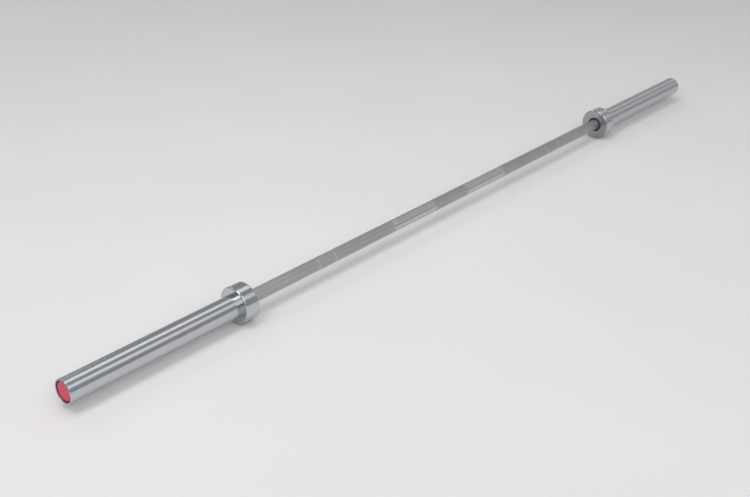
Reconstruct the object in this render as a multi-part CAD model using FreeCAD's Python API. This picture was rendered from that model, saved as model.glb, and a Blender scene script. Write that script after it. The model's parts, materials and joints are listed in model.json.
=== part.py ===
import FreeCAD, Part
import math
import os

# Olympic barbell: one steel shaft with a loading sleeve turning freely on each end.
# Lengths are in millimetres. X runs along the bar, Z is up, and the origin is in the middle of the shaft.

# Bar as a whole
bar_length = 2184.0
between_collars = 1310.0

# Clearances
seat_clearance = 0.02  # radial, in a pressed seat
running_clearance = 0.05  # radial, where one piece turns on another
guard_clearance = 0.3  # where one piece turns past another without touching it
thrust_play = 0.2  # axial, between a thrust washer and the sleeve that turns against it
cut_overrun = 1.0  # how far a cutting shape reaches past what it cuts

# Shaft
grip_diameter = 28.0
shoulder_height = 1.5  # step from the grip down to the bearing journal
shoulder_depth = 14.0  # from the collar's inner face to that step
knurl_height = 0.1  # knurl crests above the smooth steel
centre_knurl_length = 120.0
smooth_band_length = 150.0  # on each side of the centre knurl
collar_side_smooth_length = 6.0
outer_mark_spacing = 910.0
inner_mark_spacing = 810.0
hand_mark_width = 5.0
hand_mark_depth = 0.3
shaft_tip_length = 5.0  # past the retaining ring
shaft_tip_chamfer = 1.5
centre_hole_diameter = 6.0
centre_hole_angle = 60.0  # degrees, full cone

# Sleeve
sleeve_diameter = 50.0
sleeve_relief_bore = 29.5  # between the two bearing seats
collar_seat_step = 0.5  # above the sleeve's outside, so that the collar slides freely up to its seat
sleeve_flange_height = 1.5  # above the collar's seat, at the end that faces the grip
sleeve_flange_width = 4.0
sleeve_end_chamfer = 1.5
sleeve_rim_wall = 3.5  # round the end cap
cap_pocket_depth = 12.0
cap_pocket_bevel = 0.8  # at the pocket's mouth
cap_ledge = 2.0  # step that the end cap's flange seats on
washer_chamber_length = 16.0  # from the outer thrust face to that step

# Collar
collar_diameter = 80.0
collar_width = 35.0
collar_bevel = 1.5

# Dust seal
seal_section = 4.7
seal_pocket_depth = 7.0
seal_pocket_bevel = 0.8
seal_inset = 2.0  # below the pocket's mouth
seal_lip_width = 1.2
seal_lip_height = 1.6

# Bronze bushing
bushing_length = 20.0
bushing_chamfer = 0.6
oil_groove_width = 4.0
oil_groove_depth = 0.8

# Needle bearings, two in each sleeve
roller_gap = 2.5  # between the journal and the cup's raceway
rollers_per_bearing = 20
cup_wall = 1.0
cup_length = 30.0
cup_lip_gap = 0.5  # between the turned-in lip and the journal
cup_corner_chamfer = 0.7
cage_rim_width = 2.4
pocket_clearance = 0.1
outer_cup_setback = 2.0  # behind the outer thrust face

# Thrust washers and the shaft's retaining ring
washer_thickness = 2.8
washer_bore_clearance = 0.1
ring_thickness = 2.0
ring_section = 3.4
ring_groove_depth = 0.9
ring_groove_play = 0.1
ring_gap = 4.0
ring_lug_radius = 2.2
ring_lug_hole_radius = 0.9
ring_lug_angle = 16.0  # degrees from the middle of the gap

# End cap and its snap ring
cap_flange_thickness = 4.0
cap_skirt_length = 4.0
cap_skirt_wall = 2.2
cap_inset = 1.8  # below the sleeve's end
cap_edge_radius = 1.2
snap_ring_thickness = 1.8
snap_ring_show = 2.2  # width of ring seen between the cap's face and the sleeve
snap_groove_depth = 1.0
snap_groove_play = 0.2
snap_ring_gap = 6.0

# Radii
grip_radius = grip_diameter / 2
journal_radius = grip_radius - shoulder_height
raceway_radius = journal_radius + roller_gap
cup_radius = raceway_radius + cup_wall
bearing_seat_radius = cup_radius + seat_clearance
sleeve_radius = sleeve_diameter / 2
collar_seat_radius = sleeve_radius + collar_seat_step
sleeve_flange_radius = collar_seat_radius + sleeve_flange_height
cap_pocket_radius = sleeve_radius - sleeve_rim_wall
washer_chamber_radius = cap_pocket_radius - cap_ledge
collar_radius = collar_diameter / 2
seal_radius = grip_radius + guard_clearance + seal_section
snap_groove_radius = cap_pocket_radius + snap_groove_depth
cap_face_radius = cap_pocket_radius - snap_ring_show
ring_groove_radius = journal_radius - ring_groove_depth

# Places along the bar, measured out from its middle
sleeve_end = bar_length / 2
collar_face = between_collars / 2
collar_back = collar_face + collar_width
flange_back = collar_face + sleeve_flange_width
seal_seat = collar_face + seal_pocket_depth
shoulder = collar_face + shoulder_depth
bushing_start = shoulder + washer_thickness + thrust_play
inner_cup_start = bushing_start + bushing_length
inner_seat_end = inner_cup_start + cup_length
cap_seat = sleeve_end - cap_pocket_depth
thrust_face = cap_seat - washer_chamber_length
outer_cup_start = thrust_face - outer_cup_setback - cup_length
outer_washer_start = thrust_face + thrust_play
ring_start = outer_washer_start + washer_thickness
ring_groove_end = ring_start + ring_thickness + ring_groove_play
shaft_end = ring_groove_end + shaft_tip_length
snap_ring_start = cap_seat + cap_flange_thickness

origin = FreeCAD.Vector(0, 0, 0)
along_bar = FreeCAD.Vector(1, 0, 0)
upright = FreeCAD.Vector(0, 0, 1)


def turned(outline):
    """Solid turned about the bar's axis from a closed outline of (place along the bar, radius) corners."""
    corners = [FreeCAD.Vector(x, 0, radius) for x, radius in outline]
    return Part.Face(Part.makePolygon(corners + corners[:1])).revolve(origin, along_bar, 360)


def round_edges(solid, x, radius):
    """The solid's circular edges at one place and radius."""
    found = []
    for edge in solid.Edges:
        if isinstance(edge.Curve, Part.Circle):
            at_place = math.isclose(edge.Curve.Center.x, x)
            if at_place and math.isclose(edge.Curve.Radius, radius):
                found.append(edge)
    return found


def ring(x, length, inner_radius, outer_radius):
    """Plain ring about the bar's axis."""
    end = x + length
    return turned([(x, inner_radius), (x, outer_radius), (end, outer_radius), (end, inner_radius)])


def disc(x, length, radius, y, z):
    """Cylinder along the bar with its axis at y, z."""
    return Part.makeCylinder(radius, length, FreeCAD.Vector(x, y, z), along_bar)


def radial_block(x, length, width, reach):
    """Block that stands from the bar's axis up to a height, centred on the axis across its width."""
    return Part.makeBox(length, width, reach, FreeCAD.Vector(x, -width / 2, 0))


def about_bar(solid, angle):
    """The solid turned about the bar's axis by an angle in degrees."""
    copy = solid.copy()
    copy.rotate(origin, along_bar, angle)
    return copy


def half_shaft_outline():
    """Corners of one half of the shaft, from the middle out to the centre hole in its tip."""
    knurl_radius = grip_radius + knurl_height
    mark_radius = grip_radius - hand_mark_depth
    knurl_start = centre_knurl_length / 2 + smooth_band_length
    knurl_end = collar_face - collar_side_smooth_length
    corners = [(centre_knurl_length / 2, knurl_radius), (centre_knurl_length / 2, grip_radius)]
    corners += [(knurl_start, grip_radius), (knurl_start, knurl_radius)]
    for spacing in (inner_mark_spacing, outer_mark_spacing):
        mark_start = (spacing - hand_mark_width) / 2
        mark_end = (spacing + hand_mark_width) / 2
        corners += [(mark_start, knurl_radius), (mark_start, mark_radius)]
        corners += [(mark_end, mark_radius), (mark_end, knurl_radius)]
    corners += [(knurl_end, knurl_radius), (knurl_end, grip_radius)]
    corners += [(shoulder, grip_radius), (shoulder, journal_radius)]
    corners += [(ring_start, journal_radius), (ring_start, ring_groove_radius)]
    corners += [(ring_groove_end, ring_groove_radius), (ring_groove_end, journal_radius)]
    corners += [(shaft_end - shaft_tip_chamfer, journal_radius)]
    corners += [(shaft_end, journal_radius - shaft_tip_chamfer)]
    hole_radius = centre_hole_diameter / 2
    hole_depth = hole_radius / math.tan(math.radians(centre_hole_angle / 2))
    corners += [(shaft_end, hole_radius), (shaft_end - hole_depth, 0)]
    return corners


def make_shaft():
    """One-piece shaft: knurled grip with two pairs of hand marks, and a plain journal at each end."""
    right_half = half_shaft_outline()
    left_half = [(-x, radius) for x, radius in reversed(right_half)]
    return turned(left_half + right_half)


def make_sleeve():
    """Loading sleeve: flange and seat of the collar, seal pocket, bearing seats and the end cap's pocket."""
    snap_groove_end = snap_ring_start + snap_ring_thickness + snap_groove_play
    seal_pocket_radius = seal_radius + seat_clearance
    corners = [(seal_seat, bearing_seat_radius), (seal_seat, seal_pocket_radius)]
    corners += [(collar_face, seal_pocket_radius), (collar_face, sleeve_flange_radius)]
    corners += [(flange_back, sleeve_flange_radius), (flange_back, collar_seat_radius)]
    corners += [(collar_back, collar_seat_radius), (collar_back, sleeve_radius)]
    corners += [(sleeve_end, sleeve_radius), (sleeve_end, cap_pocket_radius)]
    corners += [(snap_groove_end, cap_pocket_radius), (snap_groove_end, snap_groove_radius)]
    corners += [(snap_ring_start, snap_groove_radius), (snap_ring_start, cap_pocket_radius)]
    corners += [(cap_seat, cap_pocket_radius), (cap_seat, washer_chamber_radius)]
    corners += [(thrust_face, washer_chamber_radius), (thrust_face, bearing_seat_radius)]
    corners += [(outer_cup_start, bearing_seat_radius), (outer_cup_start, sleeve_relief_bore / 2)]
    corners += [(inner_seat_end, sleeve_relief_bore / 2), (inner_seat_end, bearing_seat_radius)]
    sleeve = turned(corners)
    sleeve = sleeve.makeChamfer(sleeve_end_chamfer, round_edges(sleeve, sleeve_end, sleeve_radius))
    sleeve = sleeve.makeChamfer(cap_pocket_bevel, round_edges(sleeve, sleeve_end, cap_pocket_radius))
    return sleeve.makeChamfer(seal_pocket_bevel, round_edges(sleeve, collar_face, seal_pocket_radius))


def make_collar():
    """Collar pressed onto its seat on the sleeve, with its counterbore against the sleeve's flange."""
    bore_radius = collar_seat_radius + seat_clearance
    counterbore_radius = sleeve_flange_radius + seat_clearance
    corners = [(collar_face, counterbore_radius), (collar_face, collar_radius)]
    corners += [(collar_back, collar_radius), (collar_back, bore_radius)]
    corners += [(flange_back, bore_radius), (flange_back, counterbore_radius)]
    collar = turned(corners)
    rims = round_edges(collar, collar_face, collar_radius) + round_edges(collar, collar_back, collar_radius)
    return collar.makeChamfer(collar_bevel, rims)


def make_dust_seal():
    """Wiper seal against the floor of its pocket in the sleeve's end."""
    start = collar_face + seal_inset
    lip_radius = grip_radius + guard_clearance
    body_radius = lip_radius + seal_lip_height
    corners = [(start, lip_radius), (start, seal_radius)]
    corners += [(seal_seat, seal_radius), (seal_seat, body_radius)]
    lip_back = start + seal_lip_width
    corners += [(lip_back + seal_lip_height, body_radius), (lip_back, lip_radius)]
    return turned(corners)


def make_bushing():
    """Plain bronze bushing with a chamfer at each end and an oil groove in its bore."""
    end = bushing_start + bushing_length
    middle = bushing_start + bushing_length / 2
    bore_radius = journal_radius + running_clearance
    groove_radius = bore_radius + oil_groove_depth
    corners = [(bushing_start, bore_radius), (bushing_start, cup_radius)]
    corners += [(end, cup_radius), (end, bore_radius)]
    corners += [(middle + oil_groove_width / 2, bore_radius), (middle + oil_groove_width / 2, groove_radius)]
    corners += [(middle - oil_groove_width / 2, groove_radius), (middle - oil_groove_width / 2, bore_radius)]
    bushing = turned(corners)
    rims = round_edges(bushing, bushing_start, cup_radius) + round_edges(bushing, end, cup_radius)
    return bushing.makeChamfer(bushing_chamfer, rims)


def make_cup(start):
    """Drawn bearing cup with a lip turned in at each end."""
    end = start + cup_length
    lip_radius = journal_radius + cup_lip_gap
    corners = [(start, lip_radius), (start, cup_radius), (end, cup_radius), (end, lip_radius)]
    corners += [(end - cup_wall, lip_radius), (end - cup_wall, raceway_radius)]
    corners += [(start + cup_wall, raceway_radius), (start + cup_wall, lip_radius)]
    cup = turned(corners)
    rims = round_edges(cup, start, cup_radius) + round_edges(cup, end, cup_radius)
    return cup.makeChamfer(cup_corner_chamfer, rims)


def roller_places(cup_start):
    """Start and length of the rollers in the bearing whose cup starts there."""
    inset = cup_wall + guard_clearance + cage_rim_width + pocket_clearance
    return cup_start + inset, cup_length - 2 * inset


def make_cage(cup_start):
    """Cage of one bearing: a thin ring with a pocket for each roller."""
    inset = cup_wall + guard_clearance
    inner_radius = journal_radius + guard_clearance
    outer_radius = raceway_radius - guard_clearance
    cage = ring(cup_start + inset, cup_length - 2 * inset, inner_radius, outer_radius)
    roller_start, roller_length = roller_places(cup_start)
    pocket_width = roller_gap + 2 * (pocket_clearance - running_clearance)
    pocket_length = roller_length + 2 * pocket_clearance
    pocket_start = roller_start - pocket_clearance
    pocket = radial_block(pocket_start, pocket_length, pocket_width, outer_radius + cut_overrun)
    pitch = 360 / rollers_per_bearing
    return cage.cut([about_bar(pocket, pitch * place) for place in range(rollers_per_bearing)])


def make_rollers(cup_start):
    """Needle rollers of one bearing, each in its pocket between the journal and the raceway."""
    start, length = roller_places(cup_start)
    pitch_radius = journal_radius + roller_gap / 2
    roller = disc(start, length, roller_gap / 2 - running_clearance, 0, pitch_radius)
    pitch = 360 / rollers_per_bearing
    return Part.makeCompound([about_bar(roller, pitch * place) for place in range(rollers_per_bearing)])


def make_thrust_washer(start, outer_radius):
    """Flat thrust washer on the journal."""
    return ring(start, washer_thickness, journal_radius + washer_bore_clearance, outer_radius)


def make_retaining_ring():
    """Open retaining ring in the shaft's groove, with a lug and plier hole on each side of its gap."""
    inner_radius = ring_groove_radius + seat_clearance
    outer_radius = ring_groove_radius + ring_section
    body = ring(ring_start, ring_thickness, inner_radius, outer_radius)
    lug = disc(ring_start, ring_thickness, ring_lug_radius, 0, outer_radius)
    hole_start = ring_start - cut_overrun
    hole_length = ring_thickness + 2 * cut_overrun
    hole = disc(hole_start, hole_length, ring_lug_hole_radius, 0, outer_radius)
    angles = (-ring_lug_angle, ring_lug_angle)
    body = body.fuse([about_bar(lug, angle) for angle in angles])
    bore = disc(hole_start, hole_length, inner_radius, 0, 0)
    gap = radial_block(hole_start, hole_length, ring_gap, outer_radius + ring_lug_radius + cut_overrun)
    return body.cut([bore, gap] + [about_bar(hole, angle) for angle in angles]).removeSplitter()


def make_end_cap():
    """Moulded end cap: face, flange behind the snap ring, and a short skirt that centres it."""
    front = sleeve_end - cap_inset
    back = cap_seat - cap_skirt_length
    flange_radius = cap_pocket_radius - seat_clearance
    skirt_radius = washer_chamber_radius - seat_clearance
    corners = [(front, 0), (front, cap_face_radius), (snap_ring_start, cap_face_radius)]
    corners += [(snap_ring_start, flange_radius), (cap_seat, flange_radius), (cap_seat, skirt_radius)]
    corners += [(back, skirt_radius), (back, skirt_radius - cap_skirt_wall)]
    corners += [(cap_seat, skirt_radius - cap_skirt_wall), (cap_seat, 0)]
    cap = turned(corners)
    return cap.makeFillet(cap_edge_radius, round_edges(cap, front, cap_face_radius))


def make_cap_snap_ring():
    """Open snap ring in the sleeve's groove, in front of the cap's flange, with its gap at the top."""
    inner_radius = cap_face_radius + guard_clearance
    outer_radius = snap_groove_radius - seat_clearance
    body = ring(snap_ring_start, snap_ring_thickness, inner_radius, outer_radius)
    gap_start = snap_ring_start - cut_overrun
    gap_length = snap_ring_thickness + 2 * cut_overrun
    gap = radial_block(gap_start, gap_length, snap_ring_gap, outer_radius + cut_overrun)
    return body.cut(gap)


def right_side_pieces():
    """Every piece on the right end of the bar, by name."""
    inner_washer_radius = cup_radius - guard_clearance
    outer_washer_radius = washer_chamber_radius - guard_clearance
    pieces = {
        "sleeve": make_sleeve(),
        "collar": make_collar(),
        "dust_seal": make_dust_seal(),
        "bronze_bushing": make_bushing(),
        "inner_thrust_washer": make_thrust_washer(shoulder, inner_washer_radius),
        "outer_thrust_washer": make_thrust_washer(outer_washer_start, outer_washer_radius),
        "shaft_retaining_ring": make_retaining_ring(),
        "end_cap": make_end_cap(),
        "cap_snap_ring": make_cap_snap_ring(),
    }
    for bearing, cup_start in (("inner", inner_cup_start), ("outer", outer_cup_start)):
        pieces[bearing + "_bearing_cup"] = make_cup(cup_start)
        pieces[bearing + "_needle_cage"] = make_cage(cup_start)
        pieces[bearing + "_needle_rollers"] = make_rollers(cup_start)
    return pieces


os.makedirs("parts", exist_ok=True)
make_shaft().exportStep("parts/shaft.step")
for name, piece in right_side_pieces().items():
    piece.exportStep("parts/right_" + name + ".step")
    piece.rotate(origin, upright, 180)
    piece.exportStep("parts/left_" + name + ".step")
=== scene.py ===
import json
import math

import bmesh
import bpy
from mathutils import Matrix, Vector


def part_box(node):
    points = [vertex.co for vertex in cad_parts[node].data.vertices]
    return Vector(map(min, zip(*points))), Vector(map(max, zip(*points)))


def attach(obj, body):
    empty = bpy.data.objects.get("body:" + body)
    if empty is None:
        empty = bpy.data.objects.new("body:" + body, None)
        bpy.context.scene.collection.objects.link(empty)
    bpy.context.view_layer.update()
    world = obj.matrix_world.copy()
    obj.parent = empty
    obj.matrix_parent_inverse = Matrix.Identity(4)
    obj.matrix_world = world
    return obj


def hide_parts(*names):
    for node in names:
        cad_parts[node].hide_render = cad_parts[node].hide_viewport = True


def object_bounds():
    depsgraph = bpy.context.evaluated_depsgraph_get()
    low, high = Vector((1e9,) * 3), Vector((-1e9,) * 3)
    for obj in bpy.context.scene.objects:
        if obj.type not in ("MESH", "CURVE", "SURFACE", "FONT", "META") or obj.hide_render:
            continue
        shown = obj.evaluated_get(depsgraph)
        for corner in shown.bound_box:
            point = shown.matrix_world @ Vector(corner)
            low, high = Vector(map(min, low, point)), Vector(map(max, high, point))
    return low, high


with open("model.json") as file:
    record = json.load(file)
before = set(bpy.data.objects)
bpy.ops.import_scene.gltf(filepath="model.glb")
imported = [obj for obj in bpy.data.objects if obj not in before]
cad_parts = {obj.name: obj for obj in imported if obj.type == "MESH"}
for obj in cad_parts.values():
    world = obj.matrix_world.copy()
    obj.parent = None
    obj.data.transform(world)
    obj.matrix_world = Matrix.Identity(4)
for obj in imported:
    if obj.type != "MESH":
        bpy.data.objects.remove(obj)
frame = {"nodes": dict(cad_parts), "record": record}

cad_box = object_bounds()
record = frame["record"]
mounts = {mount["name"]: mount for mount in record["mounts"]}

MM = 0.001

# Sizes and places that the frame gives, all on the right end of the bar
knurl_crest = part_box("shaft")[1].z
shaft_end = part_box("shaft")[1].x
collar_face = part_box("right_collar")[0].x
collar_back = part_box("right_collar")[1].x
collar_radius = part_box("right_collar")[1].z
sleeve_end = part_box("right_sleeve")[1].x
flange_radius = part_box("right_sleeve")[1].z
sleeve_radius = mounts["right_plate_sleeve"]["dims"]["r_mm"] * MM
seal_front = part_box("right_dust_seal")[0].x
seal_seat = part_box("right_dust_seal")[1].x
seal_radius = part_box("right_dust_seal")[1].z
inner_cup_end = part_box("right_inner_bearing_cup")[1].x
outer_cup_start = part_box("right_outer_bearing_cup")[0].x
cup_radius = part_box("right_inner_bearing_cup")[1].z
ring_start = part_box("right_shaft_retaining_ring")[0].x
cap_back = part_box("right_end_cap")[0].x
cap_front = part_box("right_end_cap")[1].x
cap_flange_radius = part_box("right_end_cap")[1].z
snap_ring_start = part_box("right_cap_snap_ring")[0].x
snap_ring_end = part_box("right_cap_snap_ring")[1].x
floor_level = cad_box[0].z

# Shaft
grip_radius = 14.0 * MM
journal_radius = 12.5 * MM
shoulder = collar_face + 14.0 * MM
centre_knurl_end = 60.0 * MM
outer_knurl_start = 210.0 * MM
outer_knurl_end = collar_face - 6.0 * MM
hand_mark_places = (405.0 * MM, 455.0 * MM)
hand_mark_width = 5.0 * MM
hand_mark_radius = grip_radius - 0.3 * MM
ring_groove_width = 2.1 * MM
ring_groove_radius = journal_radius - 0.9 * MM
tip_chamfer = 1.5 * MM
centre_hole_radius = 3.0 * MM
centre_hole_depth = 5.2 * MM

# Diamond knurl, cut by two families of helical grooves that cross
knurl_starts = 50
knurl_angle = math.radians(30)
knurl_root = knurl_crest - 0.28 * MM
knurl_runout = 0.4 * MM

# Sleeve and collar
seat_clearance = 0.02 * MM
flange_back = collar_face + 4.0 * MM
collar_seat_radius = sleeve_radius + 0.5 * MM
collar_bevel = 1.5 * MM
sleeve_chamfer = 1.5 * MM
seal_pocket_bevel = 0.8 * MM
relief_radius = 14.75 * MM
sleeve_rim_wall = 3.5 * MM
cap_pocket_bevel = 0.8 * MM
cap_ledge = 2.0 * MM
thrust_face = sleeve_end - 28.0 * MM
cap_seat = sleeve_end - 12.0 * MM
cap_pocket_radius = sleeve_radius - sleeve_rim_wall
washer_chamber_radius = cap_pocket_radius - cap_ledge
snap_groove_radius = cap_pocket_radius + 1.0 * MM
snap_groove_play = 0.2 * MM

# End cap, snap ring and dust seal
cap_face_radius = cap_pocket_radius - 2.2 * MM
cap_skirt_wall = 2.2 * MM
cap_edge = 1.2 * MM
snap_ring_clearance = 0.3 * MM
snap_ring_gap = 6.0 * MM
seal_lip_radius = grip_radius + 0.3 * MM
seal_lip_width = 1.2 * MM
seal_lip_height = 1.6 * MM

# Mesh detail
round_columns = 192
ease_steps = 4
ease_share = 0.4
longest_wall = 20.0 * MM
broken_edge = 0.35 * MM
worn_edge = 0.9 * MM
soft_edge = 0.2 * MM
joining_distance = 0.0005 * MM
sharp_angle = math.radians(28)
map_margin_share = 0.01
shaft_map_folds = 5
sleeve_map_folds = 3

# Finishes: the part of a noise's range that is used, its detail, and the sizes of lines, patches and grain
noise_low = 0.3
noise_high = 0.7
line_detail = 3.0
patch_detail = 4.0
turning_pitch = 0.5 * MM
turning_depth = 0.0005 * MM
turning_anisotropy = 0.3
quarter_turn = 0.25
wear_pitch = 5.0 * MM
chrome_patch = 30.0 * MM
knurl_patch = 60.0 * MM
knurl_grain = 0.6 * MM
knurl_grain_depth = 0.01 * MM
moulded_patch = 12.0 * MM
inner_metal_patch = 8.0 * MM

# Share of the knurl's wear in its grooves and on its crests, and how far patches change it
groove_wear = 0.2
crest_wear = 0.8
patch_wear = 0.06

# Painted shade: the share of the walls' colour that the inner faces of sleeve and collar have, and the
# sleeve's end face, which darkens the reflections these faces show
inner_face_painted_shade = 0.74
end_face_painted_shade = 0.6

# Camera, at the photograph's viewing angle
camera_place = (-1.947568, -1.503774, 1.136095)
camera_tilt = math.radians(90 - 27.4166)
camera_turn = math.radians(-48.2126)
camera_focal_pixels = 1121.923
photo_width_pixels = 750
sensor_width = 36.0

# Studio: a pale floor in a grey room that is lighter towards the bar's far end
floor_half_size = 30.0
floor_dark = (0.8, 0.79, 0.79)
floor_bright = (0.82, 0.81, 0.81)
floor_patch = 0.4
floor_roughness = 0.9
floor_shine = 0.1
room_level = 0.33
far_room_level = 0.47
far_room_start = 0.5

# Soft boxes that face the bar: degrees from straight above towards the camera's side, distance from the bar,
# width, ends along the bar, and level. The first three light the floor, and the bar mirrors the others.
soft_boxes = {
    "key_soft_box": dict(angle=-2, distance=3.0, width=1.4, start=-3.6, end=-0.4, level=2.75),
    "fill_soft_box": dict(angle=45, distance=6.0, width=4.5, start=-5.4, end=0.6, level=1.7),
    "back_soft_box": dict(angle=-50, distance=5.0, width=1.6, start=-1.4, end=0.9, level=2.1),
    "overhead_soft_box": dict(angle=-11, distance=2.3, width=1.0, start=-0.3, end=1.0, level=0.88),
    "far_overhead_soft_box": dict(angle=-11, distance=2.3, width=1.0, start=1.0, end=5.5, level=0.27),
    "front_soft_box": dict(angle=42, distance=2.6, width=1.1, start=-0.3, end=1.15, level=0.64),
    "far_front_soft_box": dict(angle=42, distance=2.6, width=1.1, start=1.15, end=5.5, level=0.27),
}


def eased(corners):
    """Points of an outline of (place, radius, edge) corners, each corner rounded as far as its edge says."""
    points = []
    for at, (x, radius, edge) in enumerate(corners):
        here = Vector((x, radius))
        before = Vector(corners[at - 1][:2]) - here
        after = Vector(corners[(at + 1) % len(corners)][:2]) - here
        reach = min(edge, before.length * ease_share, after.length * ease_share)
        if reach == 0:
            points.append(here)
            continue
        start = here + before.normalized() * reach
        end = here + after.normalized() * reach
        points.append(here + before.normalized() * min(2 * reach, before.length / 2))
        for step in range(ease_steps + 1):
            share = step / ease_steps
            points.append(start * (1 - share) ** 2 + here * 2 * share * (1 - share) + end * share ** 2)
        points.append(here + after.normalized() * min(2 * reach, after.length / 2))
    return points


def plain_rows(points, closed):
    """Rows of a turned mesh through an outline's points, with long walls divided."""
    rows = []
    for at, here in enumerate(points):
        rows.append((here.x, here.y, here.y))
        if at + 1 == len(points) and not closed:
            break
        after = points[(at + 1) % len(points)]
        parts = math.ceil((after - here).length / longest_wall)
        for part in range(1, parts):
            between = here.lerp(after, part / parts)
            rows.append((between.x, between.y, between.y))
    return rows


def unrolled(rows, strips, columns, folds):
    """A function from a corner of a strip of faces to its place on the flat map of a turned mesh.
    The strips follow one another along the outline, which is cut into several folds laid side by side."""
    lengths = [math.dist(rows[near][:2], rows[far][:2]) for near, far in strips]
    fold_length = sum(lengths) / folds
    used_share = 1 - 2 * map_margin_share
    places = []
    along = 0.0
    for length in lengths:
        fold = min(int((along + length / 2) / fold_length), folds - 1)
        start = along / fold_length - fold
        places.append((fold, (start, start + length / fold_length)))
        along += length

    def corner(strip, end, column):
        fold, ends = places[strip]
        across = (fold + map_margin_share + used_share * column / columns) / folds
        return across, map_margin_share + used_share * ends[end]

    return corner


def turned(name, rows, columns=round_columns, closed=True, gap=0.0, folds=1):
    """Mesh object turned about the bar's axis from rows of (place along the bar, radius at even columns,
    radius at odd columns). Where the two radii differ, a strip is cut into flat facets along the grooves
    between its ridges."""
    width = columns + 1 if gap else columns
    vertices = []
    for x, *radii in rows:
        for column in range(width):
            angle = gap / 2 + (2 * math.pi - gap) * column / columns
            radius = radii[column % 2]
            vertices.append((x, radius * math.sin(angle), radius * math.cos(angle)))
    strips = [(row, row + 1) for row in range(len(rows) - 1)]
    if closed:
        strips.append((len(rows) - 1, 0))
    place_on_map = unrolled(rows, strips, columns, folds)
    faces, places, ridged = [], [], []
    for strip, (near, far) in enumerate(strips):
        has_ridges = rows[near][1] != rows[near][2] or rows[far][1] != rows[far][2]
        for column in range(columns):
            square = [(near, 0, column), (far, 1, column), (far, 1, column + 1), (near, 0, column + 1)]
            cuts = [square]
            if has_ridges:
                heights = [rows[row][1 + at % 2] for row, end, at in square]
                if heights[0] + heights[2] > heights[1] + heights[3]:
                    square = square[1:] + square[:1]
                cuts = [square[:3], square[2:] + square[:1]]
            for cut in cuts:
                faces.append([row * width + at % width for row, end, at in cut])
                places += [place_on_map(strip, end, at) for row, end, at in cut]
                ridged.append(has_ridges)
    if gap:
        for column in (0, columns):
            faces.append([row * width + column for row in range(len(rows))])
            places += [place_on_map(0, row % 2, column) for row in range(len(rows))]
            ridged.append(False)
    mesh = bpy.data.meshes.new(name)
    mesh.from_pydata(vertices, [], faces)
    flat_map = mesh.uv_layers.new(name="OFBake")
    flat_map.uv.foreach_set("vector", [number for place in places for number in place])
    mesh.polygons.foreach_set("use_smooth", [not facet for facet in ridged])
    mesh.polygons.foreach_set("material_index", [int(facet) for facet in ridged])
    work = bmesh.new()
    work.from_mesh(mesh)
    on_axis = [vertex for vertex in work.verts if vertex.co.yz.length < joining_distance]
    bmesh.ops.remove_doubles(work, verts=on_axis, dist=joining_distance)
    bmesh.ops.recalc_face_normals(work, faces=work.faces)
    work.to_mesh(mesh)
    work.free()
    mesh.set_sharp_from_angle(angle=sharp_angle)
    piece = bpy.data.objects.new(name, mesh)
    bpy.context.scene.collection.objects.link(piece)
    return piece


def knurl_rows(start, end):
    """Rows of one knurled band: ridges stand on odd and even columns by turns, so that they form diamonds."""
    row_pitch = math.pi * grip_radius / knurl_starts / math.tan(knurl_angle)
    length = end - start - 2 * knurl_runout
    count = round(length / row_pitch)
    rows = []
    for row in range(count + 1):
        x = start + knurl_runout + length * row / count
        heights = (knurl_root, knurl_crest) if row % 2 else (knurl_crest, knurl_root)
        rows.append((x, *heights))
    return rows


def make_shaft():
    """Shaft: knurled bands, smooth bands and hand marks on the grip, and a plain journal at each end."""
    smooth_band = [(centre_knurl_end, grip_radius), (outer_knurl_start, grip_radius)]
    rows = plain_rows([Vector(point) for point in smooth_band], False)
    start = outer_knurl_start
    for mark in hand_mark_places:
        mark_start = mark - hand_mark_width / 2
        mark_end = mark + hand_mark_width / 2
        rows += knurl_rows(start, mark_start)
        groove = [(mark_start, grip_radius), (mark_start, hand_mark_radius)]
        groove += [(mark_end, hand_mark_radius), (mark_end, grip_radius)]
        rows += [(x, radius, radius) for x, radius in groove]
        start = mark_end
    rows += knurl_rows(start, outer_knurl_end)
    ring_groove_end = ring_start + ring_groove_width
    tip = [(outer_knurl_end, grip_radius), (shoulder, grip_radius), (shoulder, journal_radius)]
    tip += [(ring_start, journal_radius), (ring_start, ring_groove_radius)]
    tip += [(ring_groove_end, ring_groove_radius), (ring_groove_end, journal_radius)]
    tip += [(shaft_end - tip_chamfer, journal_radius), (shaft_end, journal_radius - tip_chamfer)]
    tip += [(shaft_end, centre_hole_radius), (shaft_end - centre_hole_depth, 0)]
    rows += plain_rows([Vector(point) for point in tip], False)
    left_rows = [(-x, even, odd) for x, even, odd in reversed(rows)]
    rows = left_rows + knurl_rows(-centre_knurl_end, centre_knurl_end) + rows
    return turned("knurled_shaft", rows, columns=2 * knurl_starts, closed=False, folds=shaft_map_folds)


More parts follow.
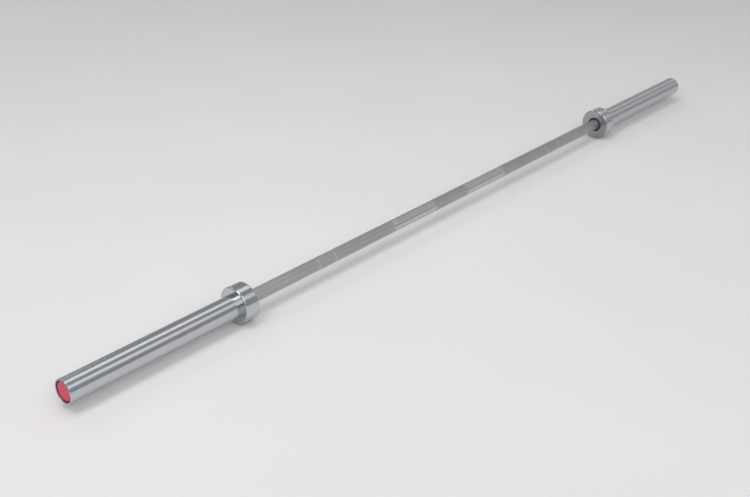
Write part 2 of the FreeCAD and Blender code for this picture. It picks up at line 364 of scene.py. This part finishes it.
def make_sleeve(name):
    """Sleeve: outside wall with a chamfered end, the collar's seat and flange, and the stepped bore."""
    seat_radius = cup_radius + seat_clearance
    pocket_radius = seal_radius + seat_clearance
    groove_end = snap_ring_end + snap_groove_play
    corners = [(seal_seat, seat_radius, 0), (seal_seat, pocket_radius, 0)]
    corners += [(collar_face + seal_pocket_bevel, pocket_radius, soft_edge)]
    corners += [(collar_face, pocket_radius + seal_pocket_bevel, soft_edge)]
    corners += [(collar_face, flange_radius, 0), (flange_back, flange_radius, 0)]
    corners += [(flange_back, collar_seat_radius, 0), (collar_back, collar_seat_radius, 0)]
    corners += [(collar_back, sleeve_radius, 0)]
    corners += [(sleeve_end - sleeve_chamfer, sleeve_radius, broken_edge)]
    corners += [(sleeve_end, sleeve_radius - sleeve_chamfer, broken_edge)]
    corners += [(sleeve_end, cap_pocket_radius + cap_pocket_bevel, soft_edge)]
    corners += [(sleeve_end - cap_pocket_bevel, cap_pocket_radius, soft_edge)]
    corners += [(groove_end, cap_pocket_radius, 0), (groove_end, snap_groove_radius, 0)]
    corners += [(snap_ring_start, snap_groove_radius, 0), (snap_ring_start, cap_pocket_radius, 0)]
    corners += [(cap_seat, cap_pocket_radius, 0), (cap_seat, washer_chamber_radius, 0)]
    corners += [(thrust_face, washer_chamber_radius, 0), (thrust_face, seat_radius, 0)]
    corners += [(outer_cup_start, seat_radius, 0), (outer_cup_start, relief_radius, 0)]
    corners += [(inner_cup_end, relief_radius, 0), (inner_cup_end, seat_radius, 0)]
    return turned(name, plain_rows(eased(corners), True), folds=sleeve_map_folds)


def make_collar(name):
    """Collar: a wide ring with bevelled edges and a counterbore for the sleeve's flange."""
    bore_radius = collar_seat_radius + seat_clearance
    counterbore_radius = flange_radius + seat_clearance
    corners = [(collar_face, counterbore_radius, 0)]
    corners += [(collar_face, collar_radius - collar_bevel, worn_edge)]
    corners += [(collar_face + collar_bevel, collar_radius, worn_edge)]
    corners += [(collar_back - collar_bevel, collar_radius, worn_edge)]
    corners += [(collar_back, collar_radius - collar_bevel, worn_edge)]
    corners += [(collar_back, bore_radius, soft_edge), (flange_back, bore_radius, 0)]
    corners += [(flange_back, counterbore_radius, 0)]
    return turned(name, plain_rows(eased(corners), True))


def make_seal(name):
    """Wiper seal with a lip that tapers to the shaft."""
    lip_back = seal_front + seal_lip_width
    body_radius = seal_lip_radius + seal_lip_height
    corners = [(seal_front, seal_lip_radius, soft_edge), (seal_front, seal_radius, soft_edge)]
    corners += [(seal_seat, seal_radius, soft_edge), (seal_seat, body_radius, soft_edge)]
    corners += [(lip_back + seal_lip_height, body_radius, soft_edge), (lip_back, seal_lip_radius, soft_edge)]
    return turned(name, plain_rows(eased(corners), True))


def make_cap(name):
    """Moulded end cap: a face with a soft edge, a flange behind the snap ring, and a skirt."""
    skirt_radius = washer_chamber_radius - seat_clearance
    corners = [(cap_front, 0, 0), (cap_front, cap_face_radius, cap_edge)]
    corners += [(snap_ring_start, cap_face_radius, 0), (snap_ring_start, cap_flange_radius, soft_edge)]
    corners += [(cap_seat, cap_flange_radius, soft_edge)]
    corners += [(cap_seat, skirt_radius, 0), (cap_back, skirt_radius, soft_edge)]
    corners += [(cap_back, skirt_radius - cap_skirt_wall, soft_edge)]
    corners += [(cap_seat, skirt_radius - cap_skirt_wall, 0), (cap_seat, 0, 0)]
    return turned(name, plain_rows(eased(corners), False), closed=False)


def make_snap_ring(name):
    """Open snap ring of square section, with its gap at the top."""
    inner_radius = cap_face_radius + snap_ring_clearance
    outer_radius = snap_groove_radius - seat_clearance
    corners = [(snap_ring_end, inner_radius, soft_edge), (snap_ring_end, outer_radius, soft_edge)]
    corners += [(snap_ring_start, outer_radius, soft_edge), (snap_ring_start, inner_radius, soft_edge)]
    return turned(name, plain_rows(eased(corners), True), gap=snap_ring_gap / inner_radius)


def add(tree, kind, inputs, **settings):
    """New node; each input is a constant or the output of another node."""
    node = tree.nodes.new(kind)
    for name, value in settings.items():
        setattr(node, name, value)
    for name, value in inputs.items():
        if isinstance(value, bpy.types.NodeSocket):
            tree.links.new(value, node.inputs[name])
        else:
            node.inputs[name].default_value = value
    return node


def calc(tree, operation, first, second=0):
    """Result of one sum on a number, or on two."""
    return add(tree, "ShaderNodeMath", {0: first, 1: second}, operation=operation).outputs[0]


def average(tree, first, second):
    """The middle between two numbers."""
    return calc(tree, "MULTIPLY", calc(tree, "ADD", first, second), 0.5)


def spread(tree, value, low, high, from_low=noise_low, from_high=noise_high):
    """A number that runs from low to high as value runs over its range."""
    limits = {"Value": value, "From Min": from_low, "From Max": from_high, "To Min": low, "To Max": high}
    return add(tree, "ShaderNodeMapRange", limits).outputs["Result"]


def shade(tree, value, first, second):
    """A colour that runs from first to second as value runs over a noise's range."""
    node = add(tree, "ShaderNodeValToRGB", {"Fac": value})
    for stop, place, colour in zip(node.color_ramp.elements, (noise_low, noise_high), (first, second)):
        stop.position = place
        stop.color = (*colour, 1)
    return node.outputs["Color"]


def surface_point(tree):
    """The point on the surface, in its object's own frame."""
    return add(tree, "ShaderNodeTexCoord", {}).outputs["Object"]


def split(tree, point):
    """The three coordinates of a point or direction."""
    return add(tree, "ShaderNodeSeparateXYZ", {"Vector": point}).outputs


def axis_distance(tree, point):
    """A point's distance from the bar's axis."""
    parts = split(tree, point)
    across = add(tree, "ShaderNodeCombineXYZ", {"Y": parts["Y"], "Z": parts["Z"]}).outputs["Vector"]
    return add(tree, "ShaderNodeVectorMath", {0: across}, operation="LENGTH").outputs["Value"]


def lines(tree, place, pitch):
    """Uneven lines that change only with a place."""
    inputs = {"W": place, "Scale": 1 / pitch, "Detail": line_detail}
    return add(tree, "ShaderNodeTexNoise", inputs, noise_dimensions="1D").outputs[0]


def mottle(tree, point, size):
    """Soft patches of about a size."""
    inputs = {"Vector": point, "Scale": 1 / size, "Detail": patch_detail}
    return add(tree, "ShaderNodeTexNoise", inputs).outputs[0]


def bump(tree, height, depth):
    """Surface normal of a relief of that depth."""
    return add(tree, "ShaderNodeBump", {"Height": height, "Distance": depth}).outputs["Normal"]


def new_finish(name, constants):
    """New material, its nodes, and its shader with the values that are the same all over."""
    material = bpy.data.materials.new(name)
    material.use_nodes = True
    shader = material.node_tree.nodes["Principled BSDF"]
    for socket, value in constants.items():
        shader.inputs[socket].default_value = value
    return material, material.node_tree, shader


def drive(tree, shader, sockets):
    """Links outputs to the shader's sockets."""
    for name, output in sockets.items():
        tree.links.new(output, shader.inputs[name])


def turned_metal(name, dark, bright, smooth, rough, inner_painted_shade):
    """Metal with the fine lines of turning round the bar's axis, on walls and end faces alike.
    The inner painted shade is the share of its colour that it has from the bar's middle to the collar's inner
    face, painted shade that darkens the reflections there.
    The sleeve's end face is darkened by painted shade too."""
    constants = {"Metallic": 1.0, "Anisotropic": turning_anisotropy, "Anisotropic Rotation": quarter_turn}
    material, tree, shader = new_finish(name, constants)
    point = surface_point(tree)
    along = split(tree, point)["X"]
    cut = calc(tree, "ADD", along, axis_distance(tree, point))
    fine = lines(tree, cut, turning_pitch)
    broad = lines(tree, cut, wear_pitch)
    wear = average(tree, broad, mottle(tree, point, chrome_patch))
    from_middle = calc(tree, "ABSOLUTE", along)
    # Painted shade: the colour is scaled down on the collar's inner face and the sleeve's end face, darkening
    # their reflections
    inner_painted_shade_scale = spread(tree, from_middle, inner_painted_shade, 1, collar_face, collar_face + collar_bevel)
    end_painted_shade_scale = spread(tree, from_middle, 1, end_face_painted_shade, sleeve_end - broken_edge, sleeve_end)
    colour = {0: shade(tree, wear, dark, bright), "Scale": calc(tree, "MULTIPLY", inner_painted_shade_scale, end_painted_shade_scale)}
    drive(tree, shader, {
        "Base Color": add(tree, "ShaderNodeVectorMath", colour, operation="SCALE").outputs[0],
        "Roughness": spread(tree, average(tree, broad, fine), smooth, rough),
        "Normal": bump(tree, fine, turning_depth),
        "Tangent": add(tree, "ShaderNodeTangent", {}, direction_type="RADIAL", axis="X").outputs["Tangent"],
    })
    return material


def knurled_metal(name, groove, crest, smooth, rough):
    """Chrome on the knurl: dull in the grooves and rubbed brighter on the crests."""
    material, tree, shader = new_finish(name, {"Metallic": 1.0})
    point = surface_point(tree)
    height_wear = spread(tree, axis_distance(tree, point), groove_wear, crest_wear, knurl_root, knurl_crest)
    uneven_wear = spread(tree, mottle(tree, point, knurl_patch), -patch_wear, patch_wear)
    rubbed = calc(tree, "ADD", height_wear, uneven_wear)
    drive(tree, shader, {
        "Base Color": shade(tree, rubbed, groove, crest),
        "Roughness": spread(tree, rubbed, rough, smooth),
        "Normal": bump(tree, mottle(tree, point, knurl_grain), knurl_grain_depth),
    })
    return material


def grained(name, constants, patch, dark, bright, smooth, rough, grain, depth):
    """Finish with slight patches of colour and an even fine grain."""
    material, tree, shader = new_finish(name, constants)
    point = surface_point(tree)
    fine = mottle(tree, point, grain)
    drive(tree, shader, {
        "Base Color": shade(tree, mottle(tree, point, patch), dark, bright),
        "Roughness": spread(tree, fine, smooth, rough),
        "Normal": bump(tree, fine, depth),
    })
    return material


def moulded(name, shine, **look):
    """Moulded plastic or rubber."""
    return grained(name, {"Metallic": 0.0, "Specular IOR Level": shine}, moulded_patch, **look)


def ground_metal(name, **look):
    """Small metal pieces: ground, sintered or oxidised."""
    return grained(name, {"Metallic": 1.0}, inner_metal_patch, **look)


finishes = {
    "shaft_chrome": turned_metal(
        "shaft_chrome", dark=(0.545, 0.555, 0.565), bright=(0.595, 0.605, 0.615),
        smooth=0.28, rough=0.34, inner_painted_shade=1),
    "sleeve_chrome": turned_metal(
        "sleeve_chrome", dark=(0.53, 0.555, 0.585), bright=(0.58, 0.605, 0.635),
        smooth=0.18, rough=0.22, inner_painted_shade=inner_face_painted_shade),
    "collar_chrome": turned_metal(
        "collar_chrome", dark=(0.53, 0.555, 0.585), bright=(0.58, 0.605, 0.635),
        smooth=0.15, rough=0.2, inner_painted_shade=inner_face_painted_shade),
    "seal_rubber": moulded(
        "seal_rubber", dark=(0.035, 0.035, 0.037), bright=(0.05, 0.05, 0.053),
        smooth=0.55, rough=0.75, grain=0.5 * MM, depth=0.02 * MM, shine=0.5),
    "bushing_bronze": ground_metal(
        "bushing_bronze", dark=(0.5, 0.3, 0.12), bright=(0.66, 0.44, 0.2),
        smooth=0.3, rough=0.5, grain=0.3 * MM, depth=0.01 * MM),
    "bearing_steel": ground_metal(
        "bearing_steel", dark=(0.5, 0.5, 0.51), bright=(0.6, 0.6, 0.61),
        smooth=0.16, rough=0.28, grain=0.4 * MM, depth=0.002 * MM),
    "cage_plastic": moulded(
        "cage_plastic", dark=(0.05, 0.06, 0.05), bright=(0.09, 0.1, 0.09),
        smooth=0.4, rough=0.55, grain=0.4 * MM, depth=0.01 * MM, shine=0.5),
    "spring_steel": ground_metal(
        "spring_steel", dark=(0.03, 0.03, 0.034), bright=(0.055, 0.055, 0.06),
        smooth=0.32, rough=0.46, grain=0.3 * MM, depth=0.004 * MM),
    "cap_red": moulded(
        "cap_red", dark=(0.73, 0.065, 0.125), bright=(0.78, 0.075, 0.14),
        smooth=0.38, rough=0.5, grain=0.35 * MM, depth=0.008 * MM, shine=0.35),
}

for subpart in record["subparts"]:
    for material_slot in frame["nodes"][subpart["node"]].material_slots:
        material_slot.material = finishes[subpart["material_slot"]]


def settle(piece, node, body, slot):
    """Makes a piece stand for a node, on that node's body and with that node's finish."""
    piece.data.materials.append(finishes[slot])
    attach(piece, body)
    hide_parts(node)


shaft = make_shaft()
settle(shaft, "shaft", "shaft_assembly", "shaft_chrome")
knurled_chrome = knurled_metal(
    "knurled_chrome", groove=(0.42, 0.43, 0.44), crest=(0.6, 0.61, 0.63), smooth=0.3, rough=0.46)
shaft.data.materials.append(knurled_chrome)

end_pieces = {
    "sleeve": (make_sleeve, "turned_sleeve", "sleeve_chrome"),
    "collar": (make_collar, "bevelled_collar", "collar_chrome"),
    "dust_seal": (make_seal, "rubber_seal", "seal_rubber"),
    "end_cap": (make_cap, "red_cap", "cap_red"),
    "cap_snap_ring": (make_snap_ring, "black_ring", "spring_steel"),
}
for side, turn in (("left", math.pi), ("right", 0)):
    for node, (make, name, slot) in end_pieces.items():
        piece = make(side + "_" + name)
        piece.data.transform(Matrix.Rotation(turn, 4, "Z"))
        settle(piece, side + "_" + node, side + "_sleeve_assembly", slot)


def make_floor():
    """Pale studio floor that the collars lie on."""
    mesh = bpy.data.meshes.new("studio_floor")
    corners = [(-1, -1), (1, -1), (1, 1), (-1, 1)]
    vertices = [(x * floor_half_size, y * floor_half_size, floor_level) for x, y in corners]
    mesh.from_pydata(vertices, [], [(0, 1, 2, 3)])
    floor = bpy.data.objects.new("studio_floor", mesh)
    bpy.context.scene.collection.objects.link(floor)
    constants = {"Roughness": floor_roughness, "Specular IOR Level": floor_shine}
    material, tree, shader = new_finish("studio_floor", constants)
    patches = mottle(tree, surface_point(tree), floor_patch)
    drive(tree, shader, {"Base Color": shade(tree, patches, floor_dark, floor_bright)})
    mesh.materials.append(material)
    return floor


def make_soft_box(name, angle, distance, width, start, end, level):
    """Soft box along the bar and facing it, at an angle from straight above towards the camera's side.
    Its level is the brightness that its face shows."""
    light = bpy.data.lights.new(name, "AREA")
    light.shape = "RECTANGLE"
    light.size = end - start
    light.size_y = width
    light.energy = level * math.pi * light.size * light.size_y
    lamp = bpy.data.objects.new(name, light)
    lean = math.radians(angle)
    lamp.location = ((start + end) / 2, -distance * math.sin(lean), distance * math.cos(lean))
    lamp.rotation_euler = (lean, 0, 0)
    bpy.context.scene.collection.objects.link(lamp)


def make_room():
    """Grey room around the studio, lighter towards the bar's far end."""
    world = bpy.data.worlds.new("grey_room")
    world.use_nodes = True
    tree = world.node_tree
    direction = add(tree, "ShaderNodeTexCoord", {}).outputs["Generated"]
    along = split(tree, direction)["X"]
    background = tree.nodes["Background"].inputs
    background["Color"].default_value = (1, 1, 1, 1)
    level = spread(tree, along, room_level, far_room_level, far_room_start, 1)
    tree.links.new(level, background["Strength"])
    bpy.context.scene.world = world


def make_camera():
    """Camera level with the horizon, looking down along the bar."""
    lens = bpy.data.cameras.new("camera")
    lens.sensor_fit = "HORIZONTAL"
    lens.sensor_width = sensor_width
    lens.lens = camera_focal_pixels * sensor_width / photo_width_pixels
    camera = bpy.data.objects.new("camera", lens)
    camera.location = camera_place
    camera.rotation_euler = (camera_tilt, 0, camera_turn)
    bpy.context.scene.collection.objects.link(camera)
    bpy.context.scene.camera = camera


make_floor()
for name, box in soft_boxes.items():
    make_soft_box(name, **box)
make_room()
make_camera()
bpy.context.scene.view_settings.view_transform = "Standard"
